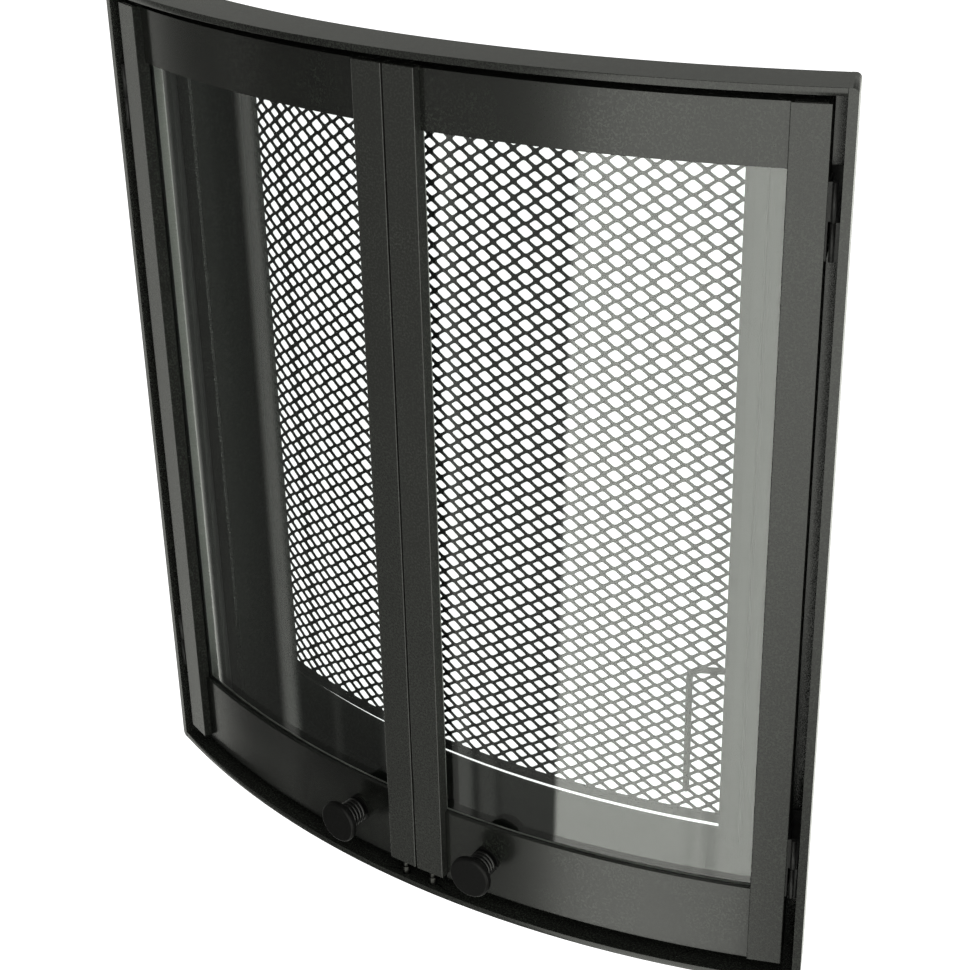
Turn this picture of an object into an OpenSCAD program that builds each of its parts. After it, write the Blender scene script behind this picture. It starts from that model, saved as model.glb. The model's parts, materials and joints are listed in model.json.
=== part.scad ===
// Bow-front pair of glass fireplace doors in a steel rim, with a spark screen behind them.
// Row frame: +X to the viewer's right, +Y to the back, +Z up.
// The origin is midway between the two hearth anchor holes, on the underside of the sill.

/* [Rim] */
// Height of the outer rim
rim_h = 680; // [600:5:760]
// Width of the rim across its front corners
rim_w = 630; // [560:5:700]
// Bulge of the front edge between the two front corners
bow = 63; // [45:1:80]
// Depth of the rim from front to back
rim_depth = 43; // [42:1:50]
// Thickness of the top plate and of the sill
rim_t = 5; // [4:0.5:7]
// Thickness of the two side plates
rim_side_t = 6.4; // [5:0.2:8]
// Radius on the four outer corners
rim_corner_r = 4; // [2:0.5:5]
// Thickness of the curved stop frame that the doors close towards
stop_t = 3; // [2:0.5:4]

/* [Doors] */
// Setback of the stiles behind the front edge of the rim
stile_front = 3.4; // [2.5:0.1:5]
// Width of a stile
stile_w = 25.4; // [22:0.2:30]
// Depth of a stile, with the web behind its front box
stile_depth = 24.6; // [22:0.2:26]
// How far the front box of a stile covers the glass
stile_lap = 12; // [10:0.5:13]
// Wall of the stile tube
stile_wall = 2; // [1.5:0.1:2.5]
// Height of the lower end of the stiles
stile_z0 = 17; // [15:0.5:22]
// Gap between the top of the stiles and the underside of the top plate
stile_top_gap = 5.8; // [4:0.2:10]
// Gap between the two doors at the middle
door_gap = 1.5; // [1:0.1:3]
// Gap between a hinge stile and the side plate
hinge_gap = 9; // [8.8:0.2:12]
// Setback of the rails behind the front of the stiles
rail_setback = 6.4; // [4:0.2:8]
// Thickness of the rails
rail_t = 3.3; // [2:0.1:4]
// Height of the top rail
top_rail_h = 42; // [30:1:60]
// Height of the bottom rail
bottom_rail_h = 63.5; // [55:0.5:75]
// How far the bottom rail hangs below the stiles
rail_drop = 3; // [0:0.5:4]
// Depth of the folded flange on the outer edge of a rail
rail_fold = 16; // [10:1:22]

/* [Glass] */
// Thickness of the glass
glass_t = 4; // [3:0.5:5]
// Overlap of the glass behind each rail
glass_lap = 12; // [8:1:16]
// Room between the edge of the glass and the web of the stile
glass_clear = 1; // [0.5:0.1:2]
// Thickness of the sealing tape behind the glass
tape_t = 1; // [0.5:0.1:1.5]
// Sheet thickness of the retainer
retainer_t = 1.5; // [1:0.1:2]

/* [Hinges] */
// Radius of the hinge barrel
barrel_r = 1.8; // [1.7:0.1:2.2]
// Length of a hinge, both halves together
hinge_len = 51; // [40:1:60]
// Height of the lower end of the lower hinge
hinge_z_low = 79.5; // [70:0.5:110]
// Distance of the lower end of the upper hinge below the top of the rim
hinge_drop = 110; // [108:0.5:180]
// Setback of the hinge axis behind the front edge of the rim
hinge_axis_off = 4; // [3.8:0.1:4.4]
// Radius of the hinge pin
hinge_pin_r = 1; // [0.8:0.05:1.1]
// Radial running clearance round the hinge pin
hinge_fit = 0.05; // [0.02:0.01:0.08]
// Thickness of the leaf and arm on the frame
frame_leaf_t = 1.4; // [1:0.1:1.6]
// Thickness of the leaf on the door
door_leaf_t = 1.2; // [0.8:0.1:1.3]

/* [Knobs] */
// Diameter of the knob disc
knob_d = 35; // [28:1:40]
// Thickness of the knob disc
knob_t = 6; // [5:0.5:12]
// Length of the spring neck between the washer and the knob
knob_neck = 20; // [18:0.5:24]
// Distance of the knob axis from the middle of the front, along the bow
knob_arc = 64; // [45:0.5:90]
// Outer diameter of the spring neck
spring_d = 22; // [18:0.5:26]
// Wire diameter of the spring neck
spring_wire = 2.6; // [2:0.1:3]
// Turns of the spring neck
spring_turns = 5; // [3.5:0.25:5]

/* [Surround and screen] */
// Setback of the surround behind the front edge of the rim
surround_off = 80; // [75:1:95]
// Thickness of the surround plate
surround_t = 3; // [2:0.5:4]
// Thickness of the collar walls and of the screen guides
sheet_t = 2; // [1.5:0.5:3]
// How far the stop frame reaches past the inner face of a hinge stile
stop_reach = 1; // [0.5:0.5:4]
// Height of the collar floor above the base of the rim
collar_z0 = 30; // [24:1:36]
// Distance from the collar ceiling to the top of the rim
collar_drop = 30; // [26:1:40]
// Gap between a side plate and the side of the screen opening, across the front
opening_side_gap = 93; // [85:0.5:125]
// Lower edge of the screen opening
opening_z0 = 76; // [62:0.5:90]
// Distance of the upper edge of the screen opening below the top of the rim
opening_drop = 65; // [64:1:180]
// Height of the bottom bar of the screen above the lower edge of the opening
screen_slit = 8; // [6:0.5:14]
// Height of the bottom bar of the screen
screen_bar_h = 7.5; // [7:0.5:14]
// Distance of each side bar of the screen outside the edge of the opening
screen_side_lap = 3.2; // [1:0.2:6]
// Width of the side and top bars of the screen
screen_bar_w = 13; // [11:0.5:16]
// Thickness of the screen bars
screen_bar_t = 3.4; // [3:0.2:5]
// Thickness of the expanded mesh
mesh_t = 1.2; // [0.8:0.1:2]
// Width of a mesh strand
mesh_strand = 3.2; // [2:0.1:4]
// Number of mesh columns between the side bars
mesh_cols = 16; // [10:1:17]
// Number of mesh rows between the bottom and top bars
mesh_rows = 14; // [10:1:16]
// How far the screen can be raised
screen_lift = 20; // [10:1:24]
// Diameter of the handle rod
rod_d = 5.2; // [4:0.2:5.4]
// Length of the hanging leg of the handle rod
rod_drop = 107; // [80:1:140]
// Height of the upper leg of the handle rod
rod_z = 221; // [180:1:260]
// Distance of the hanging leg from the side bar
rod_reach = 27; // [20:1:34]

/* [Catches] */
// Diameter of the catch barrel
catch_d = 6.8; // [6.6:0.2:9]
// Diameter of the catch plunger
plunger_d = 5.4; // [4:0.1:5.4]
// Travel of the plunger
plunger_travel = 2; // [1:0.1:2]
// Setback of the catch axis behind the front edge of the rim
catch_off = 7.5; // [5:0.1:9]

/* [Mounting] */
// Radius of the fixing holes
fix_r = 3.5; // [2.5:0.1:4]
// Half distance between the two hearth anchor holes
anchor_half = 240; // [200:5:250]
// Setback of the anchor holes behind the front edge of the rim
anchor_off = 26; // [22:0.5:30]
// Half distance between the two lintel fixing holes
lintel_half = 150; // [100:5:200]

/* [Hidden] */

bow_fn = 180;
mesh_fn = 90;
round_fn = 24;
small_fn = 14;

// The front edge is an arc; its centre lies behind the rim on x = 0.
front_r = (rim_w * rim_w / 4 + bow * bow) / (2 * bow);
half_angle = asin(rim_w / 2 / front_r);
bow_cy = sqrt(pow(front_r - anchor_off, 2) - pow(anchor_half, 2));
function arc_deg(arc, off = 0) = arc / (front_r - off) * 180 / PI;

stop_off = rim_depth;
stop_inset = 2;
stile_z1 = rim_h - rim_t - stile_top_gap;
hinge_stile_a = half_angle - arc_deg(rim_side_t + hinge_gap + stile_w / 2, stile_front);
centre_stile_a = arc_deg(door_gap / 2 + stile_w / 2, stile_front);
hinge_a = hinge_stile_a + arc_deg((stile_w + hinge_gap) / 2, hinge_axis_off);
stop_open_a = hinge_stile_a - arc_deg(stile_w / 2 + stop_reach, stop_off);

rail_off = stile_front + rail_setback;
stile_face_depth = rail_setback + rail_t;
stile_web_w = stile_w - stile_lap;
bottom_rail_z0 = stile_z0 - rail_drop;
bottom_rail_z1 = bottom_rail_z0 + bottom_rail_h;
top_rail_z1 = stile_z1 - 1;
top_rail_z0 = top_rail_z1 - top_rail_h;
fold_t = 3;

glass_off = rail_off + rail_t + 0.1;
tape_off = glass_off + glass_t + 0.1;
retainer_off = tape_off + tape_t + 0.1;
tape_w = 9;
tape_side_w = 6.5;
glass_z0 = bottom_rail_z1 - glass_lap;
glass_z1 = top_rail_z0 + glass_lap;
retainer_side_w = 6.5;
retainer_edge = 8;
screw_r = 1.5;
screw_fit = 0.02;
screw_head_r = 2.8;
screw_head_h = 1.4;
screw_bite = 2;
screw_drop = 4.5;
screw_places = [0.25, 0.75];

cap_h = 8;
cap_gap = 0.1;
seal_depth = stop_off - stile_front - stile_depth - 0.3;
seal_w = 9;
seal_inset = 1;

collar_z1 = rim_h - collar_drop;
collar_a = stop_open_a;
collar_off = stop_off + stop_t;
lintel_off = (collar_off + surround_off) / 2;
lintel_y = bow_cy - sqrt(pow(front_r - lintel_off, 2) - pow(lintel_half, 2));
opening_a = asin((rim_w / 2 - rim_side_t - opening_side_gap) / (front_r - surround_off));
opening_half = opening_a * PI / 180 * (front_r - surround_off);
opening_z1 = rim_h - opening_drop;
hinge_z_high = rim_h - hinge_drop;
screen_gap = 0.4;
screen_off = surround_off - screen_gap - mesh_t - screen_bar_t;
screen_z0 = opening_z0 + screen_slit;
screen_z1 = opening_z1 + 10;
side_bar_in = opening_half + screen_side_lap;
screen_foot_z = opening_z0 - 6;
mesh_off = screen_off + screen_bar_t;
mesh_lap = 7.5;
guide_gap = 0.5;
guide_foot_w = 12;
guide_off = screen_off - guide_gap - sheet_t;
guide_back_off = surround_off - 0.15;
rod_end_off = screen_off + rod_d / 2 - 0.8;

knob_a = arc_deg(knob_arc, rail_off);
knob_z = (bottom_rail_z0 + bottom_rail_z1) / 2;
washer_t = 1.2;
washer_r = spring_d / 2;
bolt_r = 3;
bolt_fit = 0.3;
bolt_seat = 5;

catch_a = centre_stile_a;
catch_barrel_z0 = 0.6;
catch_floor_z = catch_barrel_z0 + 1;
catch_barrel_z1 = stile_z0 - 5.4;
plunger_foot_z = catch_floor_z + plunger_travel + 1.6;
plunger_top_z = stile_z0 - 0.3;
plunger_fit = 0.05;

// ---- placing along the bow ----

// Local frame on the bow: x along the front to the right, y to the back, z up.
module at_bow(angle, off = 0) {
  translate([0, bow_cy, 0])
    rotate([0, 0, angle])
      translate([0, off - front_r, 0])
        children();
}

// Curved slab between two angles, from one setback inwards by depth.
module bow_band(off, depth, a0, a1, z0, z1, fn = bow_fn) {
  translate([0, bow_cy, 0])
    rotate([0, 0, a0 - 90])
      rotate_extrude(angle = a1 - a0, $fn = fn)
        translate([front_r - off - depth, z0])
          square([depth, z1 - z0]);
}

// The same slab between -a and +a.
module bow_ring(off, depth, a, z0, z1) {
  bow_band(off, depth, -a, a, z0, z1);
}

// Slab that spans one door, from stile centre to stile centre; side is -1 or 1.
module door_band(side, off, depth, z0, z1) {
  a0 = side > 0 ? centre_stile_a : -hinge_stile_a;
  a1 = side > 0 ? hinge_stile_a : -centre_stile_a;
  bow_band(off, depth, a0, a1, z0, z1);
}

// Cylinder whose axis points to the back, starting at local y = 0.
module rearward(r, len, fn = round_fn) {
  rotate([-90, 0, 0]) cylinder(r = r, h = len, $fn = fn);
}

// ---- rim ----

// Cutting tool that clears the place of a side plate and all that lies outside it.
module side_cut(side) {
  over = 5;
  at_bow(side * half_angle)
    translate([side > 0 ? -rim_side_t : -over, -over, -over])
      cube([rim_side_t + over, rim_depth + 2 * over, rim_h + 2 * over]);
}

module side_profile() {
  r = rim_corner_r;
  intersection() {
    square([rim_side_t, rim_h]);
    union() {
      square([rim_side_t - r, rim_h]);
      translate([0, r]) square([rim_side_t, rim_h - 2 * r]);
      for (z = [r, rim_h - r])
        translate([rim_side_t - r, z]) circle(r = r, $fn = round_fn);
    }
  }
}

module rim_side(side) {
  at_bow(side * half_angle)
    mirror([side > 0 ? 0 : 1, 0, 0])
      translate([-rim_side_t, rim_depth, 0])
        rotate([90, 0, 0])
          linear_extrude(rim_depth) side_profile();
}

module rim_plate(z0) {
  difference() {
    bow_ring(0, rim_depth, half_angle, z0, z0 + rim_t);
    for (side = [-1, 1]) side_cut(side);
  }
}

module rim_top() {
  color("darkslategray") rim_plate(rim_h - rim_t);
}

module rim_sill() {
  color("darkslategray")
    difference() {
      rim_plate(0);
      for (side = [-1, 1]) {
        translate([side * anchor_half, 0, -1])
          cylinder(r = fix_r, h = rim_t + 2, $fn = round_fn);
        at_bow(side * catch_a, catch_off)
          translate([0, 0, -1]) cylinder(d = catch_d, h = rim_t + 2, $fn = round_fn);
      }
    }
}

module rim_left() {
  color("darkslategray") rim_side(-1);
}

module rim_right() {
  color("darkslategray") rim_side(1);
}

module stop_frame() {
  color("dimgray")
    difference() {
      bow_ring(stop_off, stop_t, half_angle - arc_deg(stop_inset, stop_off),
               stop_inset, rim_h - stop_inset);
      bow_ring(stop_off - 1, stop_t + 2, stop_open_a, collar_z0, collar_z1);
    }
}

// ---- collar and surround ----

module collar_plate(z0) {
  bow_ring(collar_off, surround_off - collar_off, collar_a, z0, z0 + sheet_t);
}

module collar_top() {
  color("dimgray")
    difference() {
      collar_plate(collar_z1);
      for (side = [-1, 1])
        translate([side * lintel_half, lintel_y, collar_z1 - 1])
          cylinder(r = fix_r, h = sheet_t + 2, $fn = round_fn);
    }
}

module collar_floor() {
  color("dimgray") collar_plate(collar_z0 - sheet_t);
}

module collar_side(side) {
  wall_a = arc_deg(sheet_t, collar_off);
  a0 = side > 0 ? collar_a : -collar_a - wall_a;
  bow_band(collar_off, surround_off - collar_off, a0, a0 + wall_a,
           collar_z0 - sheet_t, collar_z1 + sheet_t);
}

module collar_left() {
  color("dimgray") collar_side(-1);
}

module collar_right() {
  color("dimgray") collar_side(1);
}

module surround() {
  edge_a = collar_a + arc_deg(sheet_t, collar_off);
  color("dimgray")
    difference() {
      bow_ring(surround_off, surround_t, edge_a, collar_z0 - sheet_t, collar_z1 + sheet_t);
      bow_ring(surround_off - 1, surround_t + 2, opening_a, opening_z0, opening_z1);
    }
}

// Channel on the front of the surround: its lip holds the side bar of the screen in place,
// leaves the screen free to rise and ends in a sill that the bar stands on.
module screen_guide(side) {
  bar_in = arc_deg(side_bar_in + screen_bar_w / 2, screen_off);
  bar_out = arc_deg(side_bar_in + screen_bar_w + guide_gap, screen_off);
  web = arc_deg(sheet_t, screen_off);
  foot = arc_deg(guide_foot_w, screen_off);
  depth = guide_back_off - guide_off;
  z0 = screen_foot_z - 0.1 - sheet_t;
  z1 = screen_z1 + screen_lift + 2;
  module part(a0, a1, off, thick, low, high) {
    bow_band(off, thick, side > 0 ? a0 : -a1, side > 0 ? a1 : -a0, low, high);
  }
  difference() {
    part(bar_in, bar_out + foot, guide_off, depth, z0, z1);
    part(bar_in - 1, bar_out, guide_off + sheet_t, depth, z0 + sheet_t, z1 + 1);
    part(bar_out + web, bar_out + foot + 1, guide_off - 1, depth - sheet_t + 1, z0 - 1, z1 + 1);
  }
}

module screen_guides() {
  color("dimgray") for (side = [-1, 1]) screen_guide(side);
}

// ---- screen ----

// Bar frame in front of the surround; it stands on the feet of its side bars, and its
// bottom bar stays clear of the lower edge of the opening.
module screen_frame() {
  out_a = arc_deg(side_bar_in + screen_bar_w, screen_off);
  in_a = arc_deg(side_bar_in, screen_off);
  color("gray")
    difference() {
      bow_ring(screen_off, screen_bar_t, out_a, screen_foot_z, screen_z1);
      bow_ring(screen_off - 1, screen_bar_t + 2, in_a,
               screen_z0 + screen_bar_h, screen_z1 - screen_bar_w);
      bow_ring(screen_off - 1, screen_bar_t + 2, in_a, screen_foot_z - 1, screen_z0);
    }
}

// Expanded mesh: staggered diamond gaps in a curved sheet behind the bars.
module screen_mesh() {
  half_a = arc_deg(side_bar_in + mesh_lap, mesh_off);
  in_x = (front_r - mesh_off) * sin(arc_deg(side_bar_in, mesh_off));
  z0 = screen_z0 + screen_bar_h;
  z1 = screen_z1 - screen_bar_w;
  pitch_x = 2 * in_x / (mesh_cols + 1);
  pitch_z = (z1 - z0) / mesh_rows;
  diagonal = sqrt(pow(pitch_x, 2) + pow(pitch_z / 2, 2));
  shrink = 1 - mesh_strand * diagonal / (pitch_x * pitch_z);
  color("darkgray")
    intersection() {
      bow_band(mesh_off, mesh_t, -half_a, half_a, screen_z0 + 1, screen_z1 - 4, mesh_fn);
      translate([0, bow_cy, 0])
        rotate([90, 0, 0])
          linear_extrude(front_r)
            difference() {
              translate([-in_x - screen_bar_w, screen_z0 - screen_bar_w])
                square([2 * (in_x + screen_bar_w), screen_z1 - screen_z0 + 2 * screen_bar_w]);
              for (i = [0 : mesh_cols - 1]) {
                stagger = i % 2;
                for (j = [0 : mesh_rows - 1 - stagger])
                  translate([-in_x + (i + 1) * pitch_x, z0 + (j + 0.5 + stagger / 2) * pitch_z])
                    scale(shrink)
                      polygon([[-pitch_x, 0], [0, -pitch_z / 2], [pitch_x, 0], [0, pitch_z / 2]]);
              }
            }
    }
}

// Bent rod: a short upper leg from the right side bar and a long leg that hangs.
module screen_handle() {
  bend = 9;
  end_a = arc_deg(side_bar_in, rod_end_off);
  reach_a = arc_deg(rod_reach, rod_end_off);
  toe_in = 11;
  leg_off = rod_end_off - rod_reach * tan(toe_in);
  in_a = arc_deg(side_bar_in, screen_off);
  color("gray")
    difference() {
      at_bow(end_a - reach_a, leg_off)
        rotate([0, 0, toe_in]) {
          translate([0, 0, rod_z - rod_drop])
            cylinder(d = rod_d, h = rod_drop - bend, $fn = round_fn);
          translate([0, 0, rod_z - rod_drop]) sphere(d = rod_d, $fn = small_fn);
          translate([bend, 0, rod_z - bend])
            rotate([90, 0, 0])
              rotate([0, 0, 90])
                rotate_extrude(angle = 90, $fn = round_fn)
                  translate([bend, 0]) circle(d = rod_d, $fn = small_fn);
          translate([bend, 0, rod_z])
            rotate([0, 90, 0])
              cylinder(d = rod_d, h = rod_reach + 6 - bend, $fn = round_fn);
        }
      bow_band(screen_off - 2 * rod_d, screen_bar_t + 4 * rod_d, in_a, in_a + 4,
               rod_z - rod_d, rod_z + rod_d);
    }
}

// ---- catches ----

module catch_barrel(side) {
  at_bow(side * catch_a, catch_off)
    difference() {
      translate([0, 0, catch_barrel_z0])
        cylinder(d = catch_d, h = catch_barrel_z1 - catch_barrel_z0, $fn = round_fn);
      translate([0, 0, catch_floor_z])
        cylinder(r = plunger_d / 2 + plunger_fit, h = catch_barrel_z1, $fn = round_fn);
    }
}

module catch_barrels() {
  color("silver") for (side = [-1, 1]) catch_barrel(side);
}

// Sleeve in the place of the small spring under a plunger.
module catch_spring(side) {
  len = plunger_foot_z - catch_floor_z;
  color("silver")
    at_bow(side * catch_a, catch_off)
      translate([0, 0, catch_floor_z])
        difference() {
          cylinder(d = plunger_d - 0.8, h = len, $fn = round_fn);
          translate([0, 0, -1]) cylinder(d = plunger_d - 2.2, h = len + 2, $fn = round_fn);
        }
}

module catch_plunger(side) {
  r = plunger_d / 2;
  color("silver")
    at_bow(side * catch_a, catch_off)
      union() {
        translate([0, 0, plunger_foot_z])
          cylinder(r = r, h = plunger_top_z - r - plunger_foot_z, $fn = round_fn);
        translate([0, 0, plunger_top_z - r]) sphere(r = r, $fn = small_fn);
      }
}

// ---- doors ----

// Outline of a stile from above: a front box with a narrower web behind it.
// web is 1 when the web stands on the +x side; shrink pulls every side in.
module stile_outline(web, shrink = 0) {
  web_x = web > 0 ? stile_w / 2 - stile_web_w : -stile_w / 2;
  translate([-stile_w / 2 + shrink, shrink])
    square([stile_w - 2 * shrink, stile_face_depth - 2 * shrink]);
  translate([web_x + shrink, shrink])
    square([stile_web_w - 2 * shrink, stile_depth - 2 * shrink]);
}

module stile_solid(angle, web, z0 = -10, z1 = rim_h + 10) {
  at_bow(angle, stile_front)
    translate([0, 0, z0]) linear_extrude(z1 - z0) stile_outline(web);
}

module both_stile_solids(side) {
  stile_solid(side * hinge_stile_a, side);
  stile_solid(side * centre_stile_a, -side);
}

// Cutting tools over the two webs of a door, from grow before each web outwards.
module both_webs(side, grow) {
  over = 5;
  module web_block(angle, web) {
    at_bow(angle, stile_front)
      translate([web > 0 ? stile_w / 2 - stile_web_w - grow : -stile_w / 2 - over, -over, -over])
        cube([stile_web_w + grow + over, stop_off, rim_h + 2 * over]);
  }
  web_block(side * hinge_stile_a, side);
  web_block(side * centre_stile_a, -side);
}

// Places of the retainer screws below and above the glass; y = 0 on the front of the retainer.
module each_retainer_screw(side) {
  for (place = screw_places, z = [glass_z0 - screw_drop, glass_z1 + screw_drop])
    at_bow(side * (centre_stile_a + place * (hinge_stile_a - centre_stile_a)), retainer_off)
      translate([0, 0, z]) children();
}

screw_reach = retainer_off - rail_off - rail_t + screw_bite;

module retainer_screw_holes(side) {
  each_retainer_screw(side)
    translate([0, -screw_reach, 0])
      rearward(screw_r + screw_fit, screw_reach + retainer_t + 1, small_fn);
}

module stile_tube(angle, web) {
  color("darkslategray")
    difference() {
      stile_solid(angle, web, stile_z0, stile_z1);
      at_bow(angle, stile_front)
        linear_extrude(rim_h + 1) stile_outline(web, stile_wall);
    }
}

// Plug that closes one end of a stile, flush with the end.
module stile_cap(angle, web, z) {
  at_bow(angle, stile_front)
    translate([0, 0, z]) linear_extrude(cap_h) stile_outline(web, stile_wall + cap_gap);
}

module stile_caps(side) {
  color("darkslategray")
    for (z = [stile_z0, stile_z1 - cap_h]) {
      stile_cap(side * hinge_stile_a, side, z);
      stile_cap(side * centre_stile_a, -side, z);
    }
}

module top_rail(side) {
  color("darkslategray")
    difference() {
      union() {
        door_band(side, rail_off, rail_t, top_rail_z0, top_rail_z1);
        door_band(side, rail_off, rail_fold, top_rail_z1 - fold_t, top_rail_z1);
      }
      both_stile_solids(side);
      retainer_screw_holes(side);
    }
}

module bottom_rail(side) {
  color("darkslategray")
    difference() {
      union() {
        door_band(side, rail_off, rail_t, bottom_rail_z0, bottom_rail_z1);
        door_band(side, rail_off, rail_fold, bottom_rail_z0, bottom_rail_z0 + fold_t);
      }
      both_stile_solids(side);
      retainer_screw_holes(side);
      at_bow(side * knob_a, rail_off - 1)
        translate([0, 0, knob_z]) rearward(bolt_r + bolt_fit, rail_t + 2);
    }
}

module glass_pane(side) {
  color([0.6, 0.65, 0.65, 0.35])
    difference() {
      door_band(side, glass_off, glass_t, glass_z0, glass_z1);
      both_webs(side, glass_clear);
    }
}

module glass_tape(side) {
  color("black")
    difference() {
      door_band(side, tape_off, tape_t, glass_z0, glass_z1);
      both_webs(side, glass_clear);
      difference() {
        door_band(side, tape_off - 1, tape_t + 2, glass_z0 + tape_w, glass_z1 - tape_w);
        both_webs(side, glass_clear + tape_side_w);
      }
    }
}

// Frame behind the tape, with a leg along the web of each stile.
module retainer(side) {
  z0 = glass_z0 - retainer_edge;
  z1 = glass_z1 + retainer_edge;
  leg_depth = stile_front + stile_depth - retainer_off;
  color("silver")
    difference() {
      union() {
        difference() {
          door_band(side, retainer_off, retainer_t, z0, z1);
          difference() {
            door_band(side, retainer_off - 1, retainer_t + 2, glass_z0 + tape_w, glass_z1 - tape_w);
            both_webs(side, retainer_side_w);
          }
        }
        intersection() {
          door_band(side, retainer_off, leg_depth, z0, z1);
          both_webs(side, retainer_t);
        }
      }
      both_webs(side, 0);
      retainer_screw_holes(side);
    }
}

module retainer_screws(side) {
  color("silver")
    each_retainer_screw(side)
      union() {
        translate([0, -screw_reach, 0])
          rearward(screw_r, screw_reach + retainer_t, small_fn);
        translate([0, retainer_t, 0]) rearward(screw_head_r, screw_head_h, small_fn);
      }
}

// Rope seal behind the webs, round on the side that meets the stop frame.
module door_seal(side) {
  pad_z1 = collar_z0 - 2;
  module rope(angle, web, z0, z1) {
    middle_x = web * (stile_w / 2 - seal_inset - seal_w / 2);
    at_bow(angle, stile_front + stile_depth)
      translate([middle_x, 0, z0]) {
        translate([-seal_w / 2, 0, 0]) cube([seal_w, seal_depth - seal_w / 2, z1 - z0]);
        translate([0, seal_depth - seal_w / 2, 0])
          cylinder(d = seal_w, h = z1 - z0, $fn = round_fn);
      }
  }
  color("black") {
    rope(side * hinge_stile_a, side, stile_z0 + 1, stile_z1 - 1);
    rope(side * centre_stile_a, -side, stile_z0 + 1, pad_z1);
    rope(side * centre_stile_a, -side, collar_z1 + 2, stile_z1 - 1);
  }
}

// ---- hinges ----

hinge_half = hinge_len / 2 - 0.25;

leaf_back = barrel_r - frame_leaf_t;

// Lower knuckle with an arm along the side plate and a foot on the stop frame.
module frame_hinge(side, z) {
  difference() {
    union() {
      at_bow(side * hinge_a, hinge_axis_off) {
        translate([0, 0, z]) cylinder(r = barrel_r, h = hinge_half, $fn = round_fn);
        translate([side > 0 ? 0 : -hinge_gap, leaf_back, z])
          cube([hinge_gap, frame_leaf_t, hinge_half]);
      }
      at_bow(side * half_angle) {
        arm_y = hinge_axis_off + leaf_back;
        translate([side > 0 ? -rim_side_t - frame_leaf_t : 0, arm_y, z])
          cube([rim_side_t + frame_leaf_t, stop_off - arm_y, hinge_half]);
        translate([side > 0 ? -rim_side_t - hinge_gap : 0, stop_off - frame_leaf_t, z])
          cube([rim_side_t + hinge_gap, frame_leaf_t, hinge_len]);
      }
    }
    side_cut(side);
    bow_band(stop_off, stop_t, side > 0 ? stop_open_a : -half_angle,
             side > 0 ? half_angle : -stop_open_a, 0, rim_h);
    at_bow(side * hinge_a, hinge_axis_off)
      translate([0, 0, z + 1])
        cylinder(r = hinge_pin_r, h = hinge_len, $fn = round_fn);
  }
}

module frame_hinges() {
  color("black")
    for (side = [-1, 1]) {
      frame_hinge(side, hinge_z_low);
      frame_hinge(side, hinge_z_high);
    }
}

module hinge_pins() {
  color("silver")
    for (side = [-1, 1])
      for (z = [hinge_z_low, hinge_z_high])
        at_bow(side * hinge_a, hinge_axis_off)
          translate([0, 0, z + 1])
            cylinder(r = hinge_pin_r, h = hinge_len - 3, $fn = round_fn);
}

module door_hinge(side, z) {
  z_half = z + hinge_len - hinge_half;
  leaf_front = hinge_axis_off + leaf_back - stile_front;
  difference() {
    union() {
      at_bow(side * hinge_a, hinge_axis_off) {
        translate([0, 0, z_half]) cylinder(r = barrel_r, h = hinge_half, $fn = round_fn);
        translate([side > 0 ? -hinge_gap : 0, leaf_back, z_half])
          cube([hinge_gap, frame_leaf_t, hinge_half]);
      }
      at_bow(side * hinge_stile_a, stile_front)
        translate([side > 0 ? 0 : -stile_w / 2 - door_leaf_t, leaf_front, z])
          cube([stile_w / 2 + door_leaf_t, stile_depth - 4, hinge_len]);
    }
    stile_solid(side * hinge_stile_a, side);
    at_bow(side * hinge_a, hinge_axis_off)
      translate([0, 0, z])
        cylinder(r = hinge_pin_r + hinge_fit, h = hinge_len - 1.5, $fn = round_fn);
  }
}

module door_hinges(side) {
  color("black")
    for (z = [hinge_z_low, hinge_z_high]) door_hinge(side, z);
}

// ---- knobs ----

// Local frame of a knob: y = 0 on the front of the rail, y negative towards the viewer.
module at_knob(side) {
  at_bow(side * knob_a, rail_off) translate([0, 0, knob_z]) children();
}

module knob(side) {
  r = knob_d / 2;
  edge = 2;
  back_y = washer_t + knob_neck;
  hub_r = spring_d / 2 - spring_wire - 0.6;
  color([0.12, 0.12, 0.12])
    at_knob(side)
      rotate([90, 0, 0])
        difference() {
          rotate_extrude($fn = 28)
            union() {
              translate([0, back_y]) square([r - edge, knob_t]);
              translate([0, back_y + edge]) square([r, knob_t - 2 * edge]);
              translate([r - edge, back_y + edge]) circle(r = edge, $fn = small_fn);
              translate([r - edge, back_y + knob_t - edge]) circle(r = edge, $fn = small_fn);
              translate([0, back_y - 3]) square([hub_r, 4]);
            }
          translate([0, 0, back_y - 4])
            cylinder(r = bolt_r, h = bolt_seat + 1, $fn = round_fn);
        }
}

// Points of a helix along +z.
spring_rings = 8;
spring_sides = 6;
spring_path_r = (spring_d - spring_wire) / 2;
spring_len = knob_neck - spring_wire - 0.2;
spring_steps = round(spring_turns * spring_rings);
function spring_point(i) =
  let (turn = i / spring_rings * 360)
  [spring_path_r * cos(turn), spring_path_r * sin(turn), spring_len * i / spring_steps];
function spring_ring(i) =
  let (turn = i / spring_rings * 360,
       slope = atan2(spring_len / spring_turns, 2 * PI * spring_path_r),
       out = [cos(turn), sin(turn), 0],
       up = [sin(turn) * sin(slope), -cos(turn) * sin(slope), cos(slope)])
  [for (k = [0 : spring_sides - 1])
    let (a = k / spring_sides * 360)
    spring_point(i) + spring_wire / 2 * (cos(a) * out + sin(a) * up)];
// Least distance between wire points that are more than half a turn apart.
spring_far = spring_rings / 2;
spring_gap = min([for (i = [0 : spring_steps], j = [i + spring_far : 1 : spring_steps])
  min([for (a = spring_ring(i), b = spring_ring(j)) norm(a - b)])]);
echo(str("least gap of the spring neck to itself: ", spring_gap, " mm"));

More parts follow.
